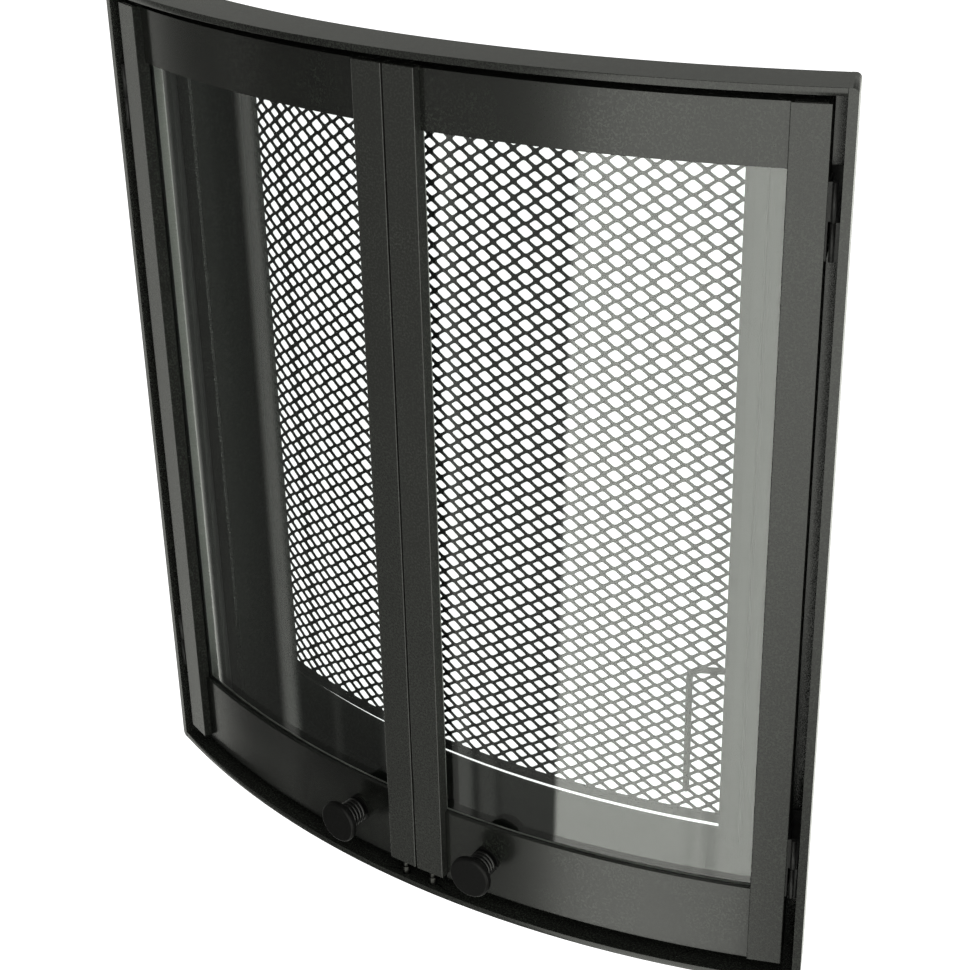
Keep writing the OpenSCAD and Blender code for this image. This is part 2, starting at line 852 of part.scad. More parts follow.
module spring_tube() {
  n = spring_sides;
  points = [for (i = [0 : spring_steps]) each spring_ring(i)];
  wall = [for (i = [0 : spring_steps - 1], k = [0 : n - 1])
    let (a = i * n + k, b = i * n + (k + 1) % n)
    each [[a, b, b + n], [a, b + n, a + n]]];
  start_cap = [for (k = [1 : n - 2]) [0, k + 1, k]];
  last = spring_steps * n;
  end_cap = [for (k = [1 : n - 2]) [last, last + k, last + k + 1]];
  polyhedron(points = points, faces = concat(wall, start_cap, end_cap));
}

module knob_spring(side) {
  color([0.15, 0.15, 0.15])
    at_knob(side)
      rotate([90, 0, 0])
        translate([0, 0, washer_t + spring_wire / 2 + 0.1])
          spring_tube();
}

module knob_washer(side) {
  color([0.12, 0.12, 0.12])
    at_knob(side)
      rotate([90, 0, 0])
        difference() {
          cylinder(r = washer_r, h = washer_t, $fn = round_fn);
          translate([0, 0, -1]) cylinder(r = bolt_r + bolt_fit, h = washer_t + 2, $fn = round_fn);
        }
}

module knob_bolt(side) {
  shank = rail_t + washer_t + knob_neck - 4 + bolt_seat;
  color("silver")
    at_knob(side)
      translate([0, rail_t, 0])
        rotate([90, 0, 0])
          union() {
            cylinder(r = bolt_r, h = shank, $fn = round_fn);
            translate([0, 0, -3.6]) cylinder(r = 5.2, h = 3.6, $fn = 6);
          }
}

rim_top();
rim_sill();
rim_left();
rim_right();
stop_frame();
collar_top();
collar_floor();
collar_left();
collar_right();
surround();
screen_guides();
frame_hinges();
hinge_pins();
catch_barrels();
catch_spring(-1);  // left_catch_spring
catch_spring(1);  // right_catch_spring
screen_frame();
screen_mesh();
screen_handle();
catch_plunger(-1);  // left_plunger
catch_plunger(1);  // right_plunger
stile_tube(-hinge_stile_a, -1);  // left_hinge_stile
stile_tube(-centre_stile_a, 1);  // left_centre_stile
stile_caps(-1);  // left_stile_caps
top_rail(-1);  // left_top_rail
bottom_rail(-1);  // left_bottom_rail
glass_pane(-1);  // left_glass
glass_tape(-1);  // left_glass_tape
retainer(-1);  // left_retainer
retainer_screws(-1);  // left_retainer_screws
door_hinges(-1);  // left_door_hinges
door_seal(-1);  // left_seal
knob(-1);  // left_knob
knob_spring(-1);  // left_knob_spring
knob_bolt(-1);  // left_knob_bolt
knob_washer(-1);  // left_knob_washer
stile_tube(hinge_stile_a, 1);  // right_hinge_stile
stile_tube(centre_stile_a, -1);  // right_centre_stile
stile_caps(1);  // right_stile_caps
top_rail(1);  // right_top_rail
bottom_rail(1);  // right_bottom_rail
glass_pane(1);  // right_glass
glass_tape(1);  // right_glass_tape
retainer(1);  // right_retainer
retainer_screws(1);  // right_retainer_screws
door_hinges(1);  // right_door_hinges
door_seal(1);  // right_seal
knob(1);  // right_knob
knob_spring(1);  // right_knob_spring
knob_bolt(1);  // right_knob_bolt
knob_washer(1);  // right_knob_washer
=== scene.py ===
import json
import math

import bmesh
import bpy
from mathutils import Matrix, Vector


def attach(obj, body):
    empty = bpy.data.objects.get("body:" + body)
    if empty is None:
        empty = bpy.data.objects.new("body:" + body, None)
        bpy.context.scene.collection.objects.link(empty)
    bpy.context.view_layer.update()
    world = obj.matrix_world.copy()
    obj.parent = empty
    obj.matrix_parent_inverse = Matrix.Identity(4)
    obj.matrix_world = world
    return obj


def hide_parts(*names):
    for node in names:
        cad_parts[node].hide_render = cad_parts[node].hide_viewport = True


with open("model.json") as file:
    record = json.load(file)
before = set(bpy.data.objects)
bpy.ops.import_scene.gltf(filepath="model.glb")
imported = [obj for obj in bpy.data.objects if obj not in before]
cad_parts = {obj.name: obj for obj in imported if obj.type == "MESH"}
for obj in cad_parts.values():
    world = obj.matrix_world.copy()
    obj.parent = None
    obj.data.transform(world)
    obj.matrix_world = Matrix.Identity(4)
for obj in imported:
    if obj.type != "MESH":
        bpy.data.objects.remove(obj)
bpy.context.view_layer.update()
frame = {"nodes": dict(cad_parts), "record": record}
cadNodes = frame["nodes"]
print("frame loaded:", len(cadNodes), "nodes")

# the bow that every curved plate follows, in metres
bow = {"radius": 0.8190, "centreY": 0.75581, "match": 0.985}


class Wire:
    # wraps one output socket, so shader maths reads as plain arithmetic
    def __init__(self, bench, socket):
        self.bench = bench
        self.socket = socket

    def compute(self, operation, first, second=None):
        values = {0: first}
        if second is not None:
            values[1] = second
        return self.bench.make("ShaderNodeMath", {"operation": operation}, values)

    def __add__(self, other):
        return self.compute("ADD", self, other)

    def __radd__(self, other):
        return self.compute("ADD", other, self)

    def __sub__(self, other):
        return self.compute("SUBTRACT", self, other)

    def __rsub__(self, other):
        return self.compute("SUBTRACT", other, self)

    def __mul__(self, other):
        return self.compute("MULTIPLY", self, other)

    def __rmul__(self, other):
        return self.compute("MULTIPLY", other, self)

    def __truediv__(self, other):
        return self.compute("DIVIDE", self, other)

    def __pow__(self, other):
        return self.compute("POWER", self, other)

    def __neg__(self):
        return self.compute("MULTIPLY", self, -1.0)

    def ramp(self, low, high, fromValue=0.0, toValue=1.0):
        return self.bench.make("ShaderNodeMapRange", {"interpolation_type": "SMOOTHSTEP"}, {
            0: self, 1: low, 2: high, 3: fromValue, 4: toValue})


class Bench:
    # one node tree; make() adds any node, sets its settings first and then its sockets
    def __init__(self, tree):
        self.tree = tree

    def make(self, kind, settings=None, values=None, out=0):
        node = self.tree.nodes.new(kind)
        for name, value in (settings or {}).items():
            setattr(node, name, value)
        for key, value in (values or {}).items():
            socket = node.inputs[key]
            if isinstance(value, Wire):
                self.tree.links.new(value.socket, socket)
            else:
                socket.default_value = value
        return Wire(self, node.outputs[out]) if node.outputs else node

    def mixColour(self, factor, first, second, blend="MIX"):
        return self.make(
            "ShaderNodeMix", {"data_type": "RGBA", "blend_type": blend},
            {0: factor, 6: first, 7: second}, out=2)


def newMaterial(name):
    material = bpy.data.materials.new(name)
    material.use_nodes = True
    material.node_tree.nodes.clear()
    return material, Bench(material.node_tree)


def closeShader(bench, shader):
    bench.make("ShaderNodeOutputMaterial", {}, {"Surface": shader})


def noise(bench, scale, detail=2.0, roughness=0.5, distortion=0.0, where=None):
    place = where or bench.make("ShaderNodeTexCoord", out=3)
    return bench.make("ShaderNodeTexNoise", {}, {
        "Vector": place, "Scale": scale, "Detail": detail,
        "Roughness": roughness, "Distortion": distortion})


def objectPlace(bench, scale=(1, 1, 1)):
    place = bench.make("ShaderNodeTexCoord", out=3)
    return bench.make("ShaderNodeMapping", {}, {"Vector": place, "Scale": scale})


def bump(bench, height, strength, distance, normal=None):
    values = {"Strength": strength, "Distance": distance, "Height": height}
    if normal is not None:
        values["Normal"] = normal
    return bench.make("ShaderNodeBump", {}, values)


def turned(bench, vector, source, target):
    return bench.make("ShaderNodeVectorTransform", {
        "vector_type": "NORMAL", "convert_from": source, "convert_to": target}, {0: vector})


def bowFrame(bench):
    # the outward radius of the bow at this spot, and the face's own true normal
    place = bench.make("ShaderNodeTexCoord", out=3)
    fromAxis = bench.make("ShaderNodeVectorMath", {"operation": "SUBTRACT"}, {
        0: place, 1: (0, bow["centreY"], 0)})
    level = bench.make("ShaderNodeVectorMath", {"operation": "MULTIPLY"}, {0: fromAxis, 1: (1, 1, 0)})
    radial = bench.make("ShaderNodeVectorMath", {"operation": "NORMALIZE"}, {0: level})
    facet = turned(bench, bench.make("ShaderNodeNewGeometry", out=3), "WORLD", "OBJECT")
    return radial, facet


def bowNormal(bench):
    # on faces that follow the bow the true normal is radial; other faces keep their own
    radial, facet = bowFrame(bench)
    match = bench.make("ShaderNodeVectorMath", {"operation": "DOT_PRODUCT"}, {0: facet, 1: radial}, out=1)
    follows = bench.make("ShaderNodeMath", {"operation": "GREATER_THAN"}, {0: match, 1: bow["match"]})
    own = bench.make("ShaderNodeNewGeometry", out=1)
    return bench.make("ShaderNodeMix", {"data_type": "VECTOR"}, {
        0: follows, 4: own, 5: turned(bench, radial, "OBJECT", "WORLD")}, out=1)


def sideShadeShare(bench):
    # 1 on faces that look along the bow, 0 on faces that look outward, up or down; this mask takes coat off
    # those side faces as a painted shade
    radial, facet = bowFrame(bench)
    along = bench.make("ShaderNodeVectorMath", {"operation": "CROSS_PRODUCT"}, {0: (0, 0, 1), 1: radial})
    match = bench.make("ShaderNodeVectorMath", {"operation": "DOT_PRODUCT"}, {0: facet, 1: along}, out=1)
    return bench.make("ShaderNodeMath", {"operation": "ABSOLUTE"}, {0: match}).ramp(*grain["sideCut"])


# what all the enamels share: how flakes, clouds and peel are cut from their noise, and how much coat the side
# faces lose as a painted shade
grain = {
    "flakeDetail": 3.0, "flakeRough": 0.62, "flakeCut": (0.44, 0.66),
    "cloudDetail": 3.0, "cloudCut": (0.3, 0.7), "cloudLow": 0.55,
    "peelScale": 900, "peelDepth": 0.0003, "sideCut": (0.6, 0.9), "sideShade": 0.85}

# grey-green enamel on all the outer steel: fine flakes under a glossy coat
enamelLook = {
    "deep": (0.006, 0.006, 0.0057, 1), "flake": (0.020, 0.023, 0.019, 1),
    "flakeScale": 620, "cloudScale": 26, "coat": 0.85, "coatRough": 0.22, "under": 0.04,
    "rough": 0.5, "metal": 0.0, "spread": 0.08, "peel": 0.05}


def makeEnamel(name, look, bowed=False, shadeSides=0.0):
    material, bench = newMaterial(name)
    facing = bowNormal(bench) if bowed else None
    coat = look["coat"]
    # faces that look along the bow lose coat and read darker: painted shade on the stile sides
    if shadeSides:
        coat = (1 - sideShadeShare(bench) * shadeSides) * coat
    flakes = noise(bench, look["flakeScale"], grain["flakeDetail"], grain["flakeRough"])
    flakes = flakes.ramp(*grain["flakeCut"])
    clouds = noise(bench, look["cloudScale"], grain["cloudDetail"])
    clouds = clouds.ramp(*grain["cloudCut"], grain["cloudLow"], 1.0)
    tone = bench.mixColour(flakes * clouds, look["deep"], look["flake"])
    peel = noise(bench, grain["peelScale"])
    shader = bench.make("ShaderNodeBsdfPrincipled", {}, {
        "Base Color": tone,
        "Roughness": flakes.ramp(0, 1, look["rough"] + look["spread"], look["rough"] - look["spread"]),
        "Metallic": flakes * look["metal"],
        "Specular IOR Level": look["under"],
        "Coat Weight": coat,
        "Coat Roughness": look["coatRough"],
        "Normal": bump(bench, peel, look["peel"], grain["peelDepth"], facing)})
    closeShader(bench, shader)
    return material


innerLook = {
    "deep": (0.006, 0.007, 0.006, 1), "flake": (0.015, 0.017, 0.015, 1),
    "flakeScale": 420, "cloudScale": 18, "coat": 0.2, "coatRough": 0.28, "under": 0.05,
    "rough": 0.5, "metal": 0.0, "spread": 0.08, "peel": 0.05}

screenLook = {
    "deep": (0.004, 0.004, 0.004, 1), "flake": (0.010, 0.011, 0.010, 1),
    "flakeScale": 700, "cloudScale": 40, "coat": 0.0, "coatRough": 0.3, "under": 0.12,
    "rough": 0.6, "metal": 0.0, "spread": 0.08, "peel": 0.4}

knobLook = {
    "deep": (0.003, 0.003, 0.003, 1), "flake": (0.005, 0.005, 0.005, 1),
    "flakeScale": 500, "cloudScale": 60, "coat": 0.10, "coatRough": 0.28, "under": 0.05,
    "rough": 0.45, "metal": 0.0, "spread": 0.08, "peel": 0.12}

springLook = {
    "deep": (0.004, 0.004, 0.004, 1), "flake": (0.010, 0.010, 0.010, 1),
    "flakeScale": 800, "cloudScale": 90, "coat": 0.45, "coatRough": 0.14, "under": 0.1,
    "rough": 0.35, "metal": 0.2, "spread": 0.08, "peel": 0.1}

blackLook = {
    "deep": (0.006, 0.006, 0.006, 1), "flake": (0.014, 0.014, 0.014, 1),
    "flakeScale": 700, "cloudScale": 50, "coat": 0.2, "coatRough": 0.25, "under": 0.1,
    "rough": 0.45, "metal": 0.1, "spread": 0.08, "peel": 0.1}


def makeBareSteel(name, tint, rough):
    material, bench = newMaterial(name)
    turned = noise(bench, 60, 4.0, 0.6, where=objectPlace(bench, (1, 1, 40)))
    tone = bench.mixColour(turned.ramp(0.3, 0.7), (*[c * 0.75 for c in tint], 1), (*tint, 1))
    shader = bench.make("ShaderNodeBsdfPrincipled", {}, {
        "Base Color": tone, "Metallic": 1.0,
        "Roughness": turned.ramp(0.3, 0.7, rough, rough + 0.15),
        "Normal": bump(bench, turned, 0.1, 0.0002)})
    closeShader(bench, shader)
    return material


def makeWovenTape(name, dark, light):
    material, bench = newMaterial(name)
    across = bench.make("ShaderNodeTexWave", {"bands_direction": "DIAGONAL"}, {
        "Vector": bench.make("ShaderNodeTexCoord", out=3),
        "Scale": 380.0, "Distortion": 2.0, "Detail": 1.0}, out=1)
    fuzz = noise(bench, 1400, 2.0)
    tone = bench.mixColour(across * 0.7 + fuzz * 0.3, (*dark, 1), (*light, 1))
    shader = bench.make("ShaderNodeBsdfPrincipled", {}, {
        "Base Color": tone, "Roughness": 0.95,
        "Normal": bump(bench, across + fuzz * 0.4, 0.5, 0.0004)})
    closeShader(bench, shader)
    return material


glassLook = {"facing": 0.055, "edge": 0.85, "tint": (0.93, 0.95, 0.94, 1)}


def makeGlass(name, look):
    # a clear pane: light goes straight through, and the mirror part grows at low angles
    material, bench = newMaterial(name)
    slope = bench.make("ShaderNodeLayerWeight", {}, {"Blend": 0.5}, out=1)
    mirror = slope ** 5.0 * look["edge"] + look["facing"]
    waves = noise(bench, 5, 1.0, 0.4, where=objectPlace(bench, (1, 1, 0.25)))
    clear = bench.make("ShaderNodeBsdfTransparent", {}, {"Color": look["tint"]})
    gloss = bench.make("ShaderNodeBsdfPrincipled", {}, {
        "Base Color": (1, 1, 1, 1), "Metallic": 1.0, "Roughness": 0.015,
        "Normal": bump(bench, waves, 0.02, 0.01)})
    closeShader(bench, bench.make("ShaderNodeMixShader", {}, {0: mirror, 1: clear, 2: gloss}))
    return material


finishes = {
    "paint": makeEnamel("greyGreenEnamel", enamelLook),
    "inner_paint": makeEnamel("innerEnamel", innerLook),
    "screen_steel": makeEnamel("screenPaint", screenLook),
    "knob_black": makeEnamel("knobBlack", knobLook),
    "spring_black": makeEnamel("springBlack", springLook),
    "black_steel": makeEnamel("hingeBlack", blackLook),
    "pin_steel": makeBareSteel("turnedSteel", (0.05, 0.05, 0.048), 0.35),
    "catch_steel": makeBareSteel("catchSteel", (0.035, 0.035, 0.033), 0.25),
    "zinc_steel": makeBareSteel("zincSteel", (0.50, 0.50, 0.485), 0.6),
    "tape": makeWovenTape("glassTape", (0.010, 0.010, 0.010), (0.04, 0.04, 0.04)),
    "seal": makeWovenTape("ropeSeal", (0.012, 0.012, 0.012), (0.05, 0.05, 0.05)),
    "glass": makeGlass("clearGlass", glassLook),
}
# on the rails the gloss sits in the base layer, which follows the radial normals
bowedLook = {**enamelLook, "coat": 0.0, "under": 0.49, "rough": 0.21, "spread": 0.04}
bowedPaint = makeEnamel("greyGreenEnamelBowed", bowedLook, bowed=True)
# the centre stiles take a lighter copy of the enamel with full coat, a painted light on their faces; centre
# and hinge stiles also take the painted side shade
litStileLook = {
    **enamelLook, "deep": (0.013, 0.0132, 0.0125, 1), "flake": (0.030, 0.0325, 0.029, 1), "coat": 1.0}
centrePaint = makeEnamel("greyGreenEnamelCentre", litStileLook, shadeSides=grain["sideShade"])
hingePaint = makeEnamel("greyGreenEnamelHinge", enamelLook, shadeSides=grain["sideShade"])
ownPaint = {"_rail": bowedPaint, "_centre_stile": centrePaint, "_hinge_stile": hingePaint}
print("materials made:", len(finishes) + len(ownPaint))

# every CAD node takes its own finish; all but the screen mesh, glass and knobs have their sharp edges broken
# a little
edgeBreak = {"width": 0.0005, "segments": 2, "angle": 35, "weld": 0.00001}
noEdgeBreak = {"screen_mesh", "left_glass", "right_glass", "left_knob", "right_knob"}
for entry in frame["record"]["subparts"]:
    node = cadNodes[entry["node"]]
    node.data.materials.clear()
    finish = finishes[entry["material_slot"]]
    if entry["material_slot"] == "paint":
        for ending, special in ownPaint.items():
            finish = special if entry["node"].endswith(ending) else finish
    node.data.materials.append(finish)
    if entry["node"] in noEdgeBreak:
        continue
    weld = node.modifiers.new("joined", "WELD")
    weld.merge_threshold = edgeBreak["weld"]
    breaker = node.modifiers.new("edges", "BEVEL")
    breaker.width = edgeBreak["width"]
    breaker.segments = edgeBreak["segments"]
    breaker.limit_method = "ANGLE"
    breaker.angle_limit = math.radians(edgeBreak["angle"])
    breaker.harden_normals = False
print("CAD nodes dressed")


def bowPoint(angle, setback, z):
    reach = bow["radius"] - setback
    return Vector((reach * math.sin(angle), bow["centreY"] - reach * math.cos(angle), z))


def bakeTree(tree, values, name, objects=None):
    # runs a Geometry Nodes tree once on an empty mesh and returns the plain result
    holder = bpy.data.objects.new(name + "Source", bpy.data.meshes.new(name + "Source"))
    bpy.context.scene.collection.objects.link(holder)
    modifier = holder.modifiers.new("build", "NODES")
    modifier.node_group = tree
    for item in tree.interface.items_tree:
        if item.item_type == "SOCKET" and item.in_out == "INPUT" and item.name in values:
            modifier[item.identifier] = values[item.name]
    bpy.context.view_layer.update()
    graph = bpy.context.evaluated_depsgraph_get()
    mesh = bpy.data.meshes.new_from_object(holder.evaluated_get(graph))
    bpy.data.objects.remove(holder)
    made = bpy.data.objects.new(name, mesh)
    bpy.context.scene.collection.objects.link(made)
    return made


def openTree(name, sockets):
    tree = bpy.data.node_groups.new(name, "GeometryNodeTree")
    tree.interface.new_socket("Geometry", in_out="OUTPUT", socket_type="NodeSocketGeometry")
    for label, kind in sockets:
        tree.interface.new_socket(label, in_out="INPUT", socket_type=kind)
    bench = Bench(tree)
    entry = tree.nodes.new("NodeGroupInput")
    inputs = {label: Wire(bench, entry.outputs[label]) for label, _ in sockets}
    return tree, bench, inputs


def closeTree(bench, geometry, material):
    real = bench.make("GeometryNodeRealizeInstances", {}, {"Geometry": geometry})
    painted = bench.make("GeometryNodeSetMaterial", {}, {"Geometry": real, "Material": material})
    output = bench.tree.nodes.new("NodeGroupOutput")
    bench.tree.links.new(painted.socket, output.inputs[0])


# expanded mesh of the spark screen: wide and narrow diamonds in turn, on the bow
sparkMesh = {
    "columnPitch": 0.00888, "rowPitch": 0.01172, "setback": 0.0784, "thickness": 0.0012,
    "columns": 50, "rows": 45, "lowZ": 0.09727, "middle": 0.00266,
    "wideHole": (0.81, 0.88), "narrowHole": (0.68, 0.70), "chamfer": 0.0002,
    "blunt": 0.17, "round": 0.7, "joinWithin": 0.00015}


def diamondCell(name, hole):
    # one lattice diamond with its hole; outer edges meet the neighbours' edges
    halfX, halfZ = sparkMesh["columnPitch"], sparkMesh["rowPitch"] / 2
    depth, cut = sparkMesh["thickness"], sparkMesh["chamfer"]
    corners = [(1, 0), (0, 1), (-1, 0), (0, -1)]
    blunt = sparkMesh["blunt"]
    cell = bmesh.new()

    def ring(scaleX, scaleZ, y, trim):
        # three points a corner; trim pulls the middle one in and rounds the hole
        made = []
        for i, (x, z) in enumerate(corners):
            for towards, share in ((corners[i - 1], blunt), ((x, z), 0), (corners[(i + 1) % 4], blunt)):
                pull = 1 - share if share else 1 - blunt * trim
                px = x * pull + towards[0] * share
                pz = z * pull + towards[1] * share
                made.append(cell.verts.new((px * halfX * scaleX, y, pz * halfZ * scaleZ)))
        return made

    wide = cut / halfZ
    trim = sparkMesh["round"]
    rings = [
        ring(1, 1, 0, 0), ring(hole[0] + wide, hole[1] + wide, 0, trim), ring(*hole, cut, trim),
        ring(*hole, depth, trim), ring(1, 1, depth, 0)]
    for first, second in zip(rings, rings[1:]):
        for i in range(12):
            j = (i + 1) % 12
            cell.faces.new((first[i], second[i], second[j], first[j]))
    mesh = bpy.data.meshes.new(name)
    bmesh.ops.recalc_face_normals(cell, faces=cell.faces)
    front = min(cell.faces, key=lambda f: f.calc_center_median().y)
    front.normal_update()
    if front.normal.y > 0:
        bmesh.ops.reverse_faces(cell, faces=cell.faces)
    cell.to_mesh(mesh)
    cell.free()
    made = bpy.data.objects.new(name, mesh)
    bpy.context.scene.collection.objects.link(made)
    return made


def buildSparkMesh():
    tree, bench, given = openTree("sparkMeshTree", [
        ("Columns", "NodeSocketInt"), ("Rows", "NodeSocketInt"),
        ("ColumnPitch", "NodeSocketFloat"), ("RowPitch", "NodeSocketFloat"),
        ("Radius", "NodeSocketFloat"), ("CentreY", "NodeSocketFloat"), ("LowZ", "NodeSocketFloat"),
        ("Middle", "NodeSocketFloat"),
        ("WideCell", "NodeSocketObject"), ("NarrowCell", "NodeSocketObject")])
    spread = (given["Columns"] - 1) * given["ColumnPitch"]
    rise = (given["Rows"] - 1) * given["RowPitch"]
    grid = bench.make("GeometryNodeMeshGrid", {}, {
        "Size X": spread, "Size Y": rise, "Vertices X": given["Columns"], "Vertices Y": given["Rows"]})
    split = bench.tree.nodes.new("ShaderNodeSeparateXYZ")
    place = bench.tree.nodes.new("GeometryNodeInputPosition")
    bench.tree.links.new(place.outputs[0], split.inputs[0])
    arc, height = Wire(bench, split.outputs[0]), Wire(bench, split.outputs[1])
    column = bench.make("ShaderNodeMath", {"operation": "ROUND"}, {
        0: (arc + spread / 2) / given["ColumnPitch"]})
    odd = 1 - bench.make("ShaderNodeMath", {"operation": "MODULO"}, {0: column, 1: 2.0})
    angle = (arc + given["Middle"]) / given["Radius"]
    x = bench.make("ShaderNodeMath", {"operation": "SINE"}, {0: angle}) * given["Radius"]
    y = given["CentreY"] - bench.make("ShaderNodeMath", {"operation": "COSINE"}, {0: angle}) * given["Radius"]
    z = height + rise / 2 + given["LowZ"] - odd * given["RowPitch"] * 0.5
    onBow = bench.make("ShaderNodeCombineXYZ", {}, {0: x, 1: y, 2: z})
    points = bench.make("GeometryNodeMeshToPoints", {}, {"Mesh": grid, "Position": onBow})
    turn = bench.make("ShaderNodeCombineXYZ", {}, {2: angle})

    def cellOn(which, chosen):
        cell = bench.make("GeometryNodeObjectInfo", {"transform_space": "ORIGINAL"}, {
            "Object": given[which]}, out=4)
        return bench.make("GeometryNodeInstanceOnPoints", {}, {
            "Points": points, "Selection": chosen, "Instance": cell, "Rotation": turn})

    isOdd = bench.make("FunctionNodeCompare", {"data_type": "FLOAT", "operation": "GREATER_THAN"}, {
        0: odd, 1: 0.5})
    isEven = bench.make("FunctionNodeBooleanMath", {"operation": "NOT"}, {0: isOdd})
    joined = bench.tree.nodes.new("GeometryNodeJoinGeometry")
    for part in (cellOn("WideCell", isEven), cellOn("NarrowCell", isOdd)):
        bench.tree.links.new(part.socket, joined.inputs[0])
    closeTree(bench, Wire(bench, joined.outputs[0]), finishes["screen_steel"])
    wide = diamondCell("wideCell", sparkMesh["wideHole"])
    narrow = diamondCell("narrowCell", sparkMesh["narrowHole"])
    made = bakeTree(tree, {
        "Columns": sparkMesh["columns"], "Rows": sparkMesh["rows"],
        "ColumnPitch": sparkMesh["columnPitch"], "RowPitch": sparkMesh["rowPitch"],
        "Radius": bow["radius"] - sparkMesh["setback"], "CentreY": bow["centreY"],
        "LowZ": sparkMesh["lowZ"], "Middle": sparkMesh["middle"],
        "WideCell": wide, "NarrowCell": narrow}, "sparkMesh")
    bpy.data.objects.remove(wide)
    bpy.data.objects.remove(narrow)
    net = bmesh.new()
    net.from_mesh(made.data)
    bmesh.ops.remove_doubles(net, verts=net.verts, dist=sparkMesh["joinWithin"])
    rim = [e for e in net.edges if e.is_boundary]
    bmesh.ops.bridge_loops(net, edges=rim)
    bmesh.ops.recalc_face_normals(net, faces=net.faces)
    net.to_mesh(made.data)
    openEdges = sum(1 for e in net.edges if e.is_boundary)
    net.free()
    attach(made, "screen")
    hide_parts("screen_mesh")
    print("spark mesh:", len(made.data.polygons), "faces, open edges", openEdges)


buildSparkMesh()

# spring necks of the two knobs
knobNeck = {
    "angle": 0.07909, "railSetback": 0.0098, "z": 0.04575, "radius": 0.0097, "wire": 0.0013,
    "turns": 5.0, "start": 0.0026, "length": 0.0172, "turnPoints": 40, "wirePoints": 16}


def buildSprings():
    tree, bench, given = openTree("springTree", [
        ("Turns", "NodeSocketFloat"), ("Radius", "NodeSocketFloat"), ("Height", "NodeSocketFloat"),
        ("Wire", "NodeSocketFloat"), ("Place", "NodeSocketVector"), ("Tilt", "NodeSocketVector")])
    coil = bench.make("GeometryNodeCurveSpiral", {}, {
        "Resolution": knobNeck["turnPoints"], "Rotations": given["Turns"], "Start Radius": given["Radius"],
        "End Radius": given["Radius"], "Height": given["Height"]})
    section = bench.make("GeometryNodeCurvePrimitiveCircle", {"mode": "RADIUS"}, {
        "Resolution": knobNeck["wirePoints"], "Radius": given["Wire"]})
    tube = bench.make("GeometryNodeCurveToMesh", {}, {
        "Curve": coil, "Profile Curve": section, "Fill Caps": True})
    smooth = bench.make("GeometryNodeSetShadeSmooth", {}, {"Geometry": tube})
    placed = bench.make("GeometryNodeTransform", {}, {
        "Geometry": smooth, "Translation": given["Place"], "Rotation": given["Tilt"]})
    closeTree(bench, placed, finishes["spring_black"])
    for side, word in ((-1, "left"), (1, "right")):
        angle = side * knobNeck["angle"]
        start = bowPoint(angle, knobNeck["railSetback"] - knobNeck["start"], knobNeck["z"])
        made = bakeTree(tree, {
            "Turns": knobNeck["turns"], "Radius": knobNeck["radius"], "Height": knobNeck["length"],
            "Wire": knobNeck["wire"], "Place": start, "Tilt": (math.pi / 2, 0, angle)}, word + "Spring")
        net = bmesh.new()
        net.from_mesh(made.data)
        bmesh.ops.recalc_face_normals(net, faces=net.faces)
        net.to_mesh(made.data)
        net.free()
        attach(made, word + "_door")
        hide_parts(word + "_knob_spring")
    print("spring necks made")


buildSprings()

# studio: white all round for the camera; gloss and shade see a dim room with a few light panels.
# each panel is (degrees from the front towards +x, half width in degrees, strength over the base)
studio = {
    "seen": 1.35, "tint": (0.985, 1.0, 0.93, 1), "panelSoft": 0.9,
    "floorSize": 6.0, "floorDrop": 0.0004, "floorShade": 0.8,
    "rear": 0.30, "rearTurn": (95, 125), "rearLow": 1.4, "rearLift": (-14, 0),
    "edge": -10.4, "edgeLean": 0.159, "soft": 0.5,
    "cornerTurn": (12, 17), "cornerLift": (-22, -38), "cornerDrop": 0.95,
    "overheadLift": (15, 50), "overheadDrop": 0.45,
    "sideTurn": (81.0, 81.8, 83.2, 84.2), "sideLift": (17, 30), "sideGain": 0.8}
dimPanels = {"base": 0.10, "panels": [
    (-93, 9, 0.8), (-82.5, 1, 1.1), (-64, 1.5, 0.5), (-54, 0.5, 0.1), (-39, 6, 0.2),
    (-31, 1.5, 0.5), (-27, 1.5, 0.3), (-11, 14, 0.2)]}
brightPanels = {"base": 2.8, "panels": [(4, 0.5, -0.4), (7, 1, -0.6)]}


def panelLight(bench, turn, look):
    total = look["base"]
    for centre, half, gain in look["panels"]:
        away = bench.make("ShaderNodeMath", {"operation": "ABSOLUTE"}, {0: turn - centre})
        total = away.ramp(half - studio["panelSoft"], half + studio["panelSoft"], gain, 0.0) + total
    return total


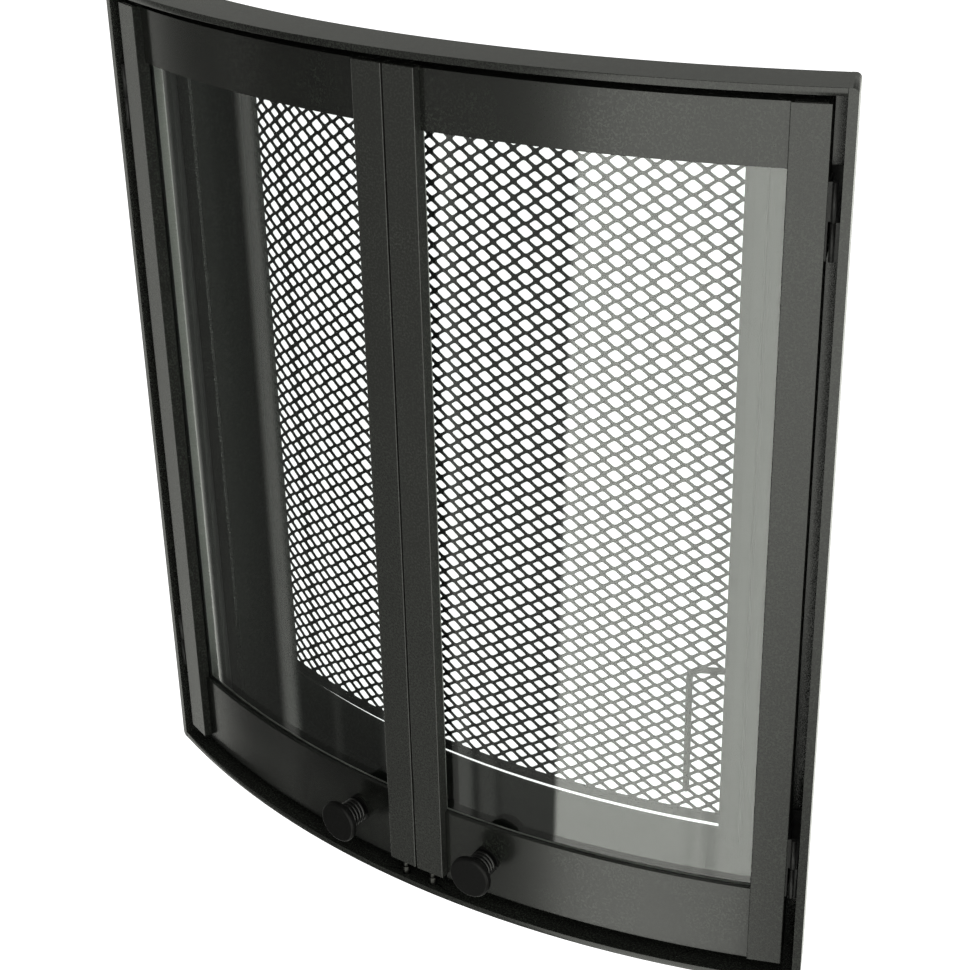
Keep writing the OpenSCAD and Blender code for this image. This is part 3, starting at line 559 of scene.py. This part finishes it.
def buildWorld():
    world = bpy.data.worlds.new("studio")
    bpy.context.scene.world = world
    world.use_nodes = True
    world.node_tree.nodes.clear()
    bench = Bench(world.node_tree)
    way = bench.make("ShaderNodeTexCoord", out=0)
    split = bench.tree.nodes.new("ShaderNodeSeparateXYZ")
    bench.tree.links.new(way.socket, split.inputs[0])
    x, y, z = (Wire(bench, split.outputs[i]) for i in range(3))
    degrees = 180 / math.pi
    turn = bench.make("ShaderNodeMath", {"operation": "ARCTAN2"}, {0: x, 1: -y}) * degrees
    lift = bench.make("ShaderNodeMath", {"operation": "ARCSINE"}, {0: z}) * degrees
    dim = panelLight(bench, turn, dimPanels)
    nearEnd, nearFull, farFull, farEnd = studio["sideTurn"]
    within = (-turn).ramp(nearEnd, nearFull) * (-turn).ramp(farFull, farEnd, 1.0, 0.0)
    dim = dim * (1 + within * (-lift).ramp(*studio["sideLift"]) * studio["sideGain"])
    bright = panelLight(bench, turn, brightPanels)
    edge = turn - lift * studio["edgeLean"]
    share = edge.ramp(studio["edge"] - studio["soft"], studio["edge"] + studio["soft"])
    sideways = turn.ramp(*studio["cornerTurn"])
    lowdown = (-lift).ramp(-studio["cornerLift"][0], -studio["cornerLift"][1])
    bright = bright * (1 - sideways * lowdown * studio["cornerDrop"])
    front = dim + (bright - dim) * share
    behind = bench.make("ShaderNodeMath", {"operation": "ABSOLUTE"}, {0: turn}).ramp(*studio["rearTurn"])
    overhead = lift.ramp(*studio["overheadLift"])
    rear = lift.ramp(*studio["rearLift"], studio["rearLow"], studio["rear"])
    glow = (front + behind * (rear - front)) * (1 - overhead * studio["overheadDrop"])
    seen = bench.make("ShaderNodeLightPath", out=0)
    strength = seen * studio["seen"] + (1 - seen) * glow
    colour = bench.mixColour(seen, studio["tint"], (1, 1, 1, 1))
    sky = bench.make("ShaderNodeBackground", {}, {"Color": colour, "Strength": strength})
    bench.make("ShaderNodeOutputWorld", {}, {"Surface": sky})


def buildFloor():
    size = studio["floorSize"]
    mesh = bpy.data.meshes.new("floor")
    corners = [(-size, -size, 0), (size, -size, 0), (size, size, 0), (-size, size, 0)]
    mesh.from_pydata(corners, [], [(0, 1, 2, 3)])
    floor = bpy.data.objects.new("floor", mesh)
    floor.location.z = -studio["floorDrop"]
    bpy.context.scene.collection.objects.link(floor)
    material, bench = newMaterial("paleFloor")
    path = bench.tree.nodes.new("ShaderNodeLightPath")
    seen = Wire(bench, path.outputs["Is Camera Ray"])
    glossy = Wire(bench, path.outputs["Is Glossy Ray"])
    white = bench.make("ShaderNodeEmission", {}, {"Color": (1, 1, 1, 1), "Strength": studio["seen"]})
    matte = bench.make("ShaderNodeBsdfDiffuse", {}, {"Color": (*[studio["floorShade"]] * 3, 1)})
    clear = bench.make("ShaderNodeBsdfTransparent")
    unseen = bench.make("ShaderNodeMixShader", {}, {0: glossy, 1: matte, 2: clear})
    closeShader(bench, bench.make("ShaderNodeMixShader", {}, {0: seen, 1: unseen, 2: white}))
    mesh.materials.append(material)


# place and turn solved from the photo's straight lines; focal and centre are in picture pixels
photoCamera = {
    "place": (0.7710, -1.0203, 0.9486), "yaw": -0.6025, "pitch": 0.4476, "roll": -0.0122,
    "pixels": 970, "focal": 1864.25, "centre": (523.87, 485.87), "middle": 485, "sensor": 36, "far": 50}


def buildCamera():
    data = bpy.data.cameras.new("photoCamera")
    camera = bpy.data.objects.new("photoCamera", data)
    bpy.context.scene.collection.objects.link(camera)
    yaw, pitch, roll = (photoCamera[name] for name in ("yaw", "pitch", "roll"))
    ahead = Vector((math.sin(yaw) * math.cos(pitch), math.cos(yaw) * math.cos(pitch), -math.sin(pitch)))
    level = Vector((math.cos(yaw), -math.sin(yaw), 0))
    upright = level.cross(ahead)
    right = math.cos(roll) * level + math.sin(roll) * upright
    up = -math.sin(roll) * level + math.cos(roll) * upright
    turn = Matrix((right, up, -ahead)).transposed().to_4x4()
    camera.matrix_world = Matrix.Translation(photoCamera["place"]) @ turn
    pixels, middle = photoCamera["pixels"], photoCamera["middle"]
    data.sensor_width = photoCamera["sensor"]
    data.lens = photoCamera["sensor"] * photoCamera["focal"] / pixels
    data.shift_x = (middle - photoCamera["centre"][0]) / pixels
    data.shift_y = (photoCamera["centre"][1] - middle) / pixels
    data.clip_end = photoCamera["far"]
    bpy.context.scene.camera = camera


buildWorld()
buildFloor()
buildCamera()
bpy.context.scene.view_settings.view_transform = "Standard"
print("studio ready")
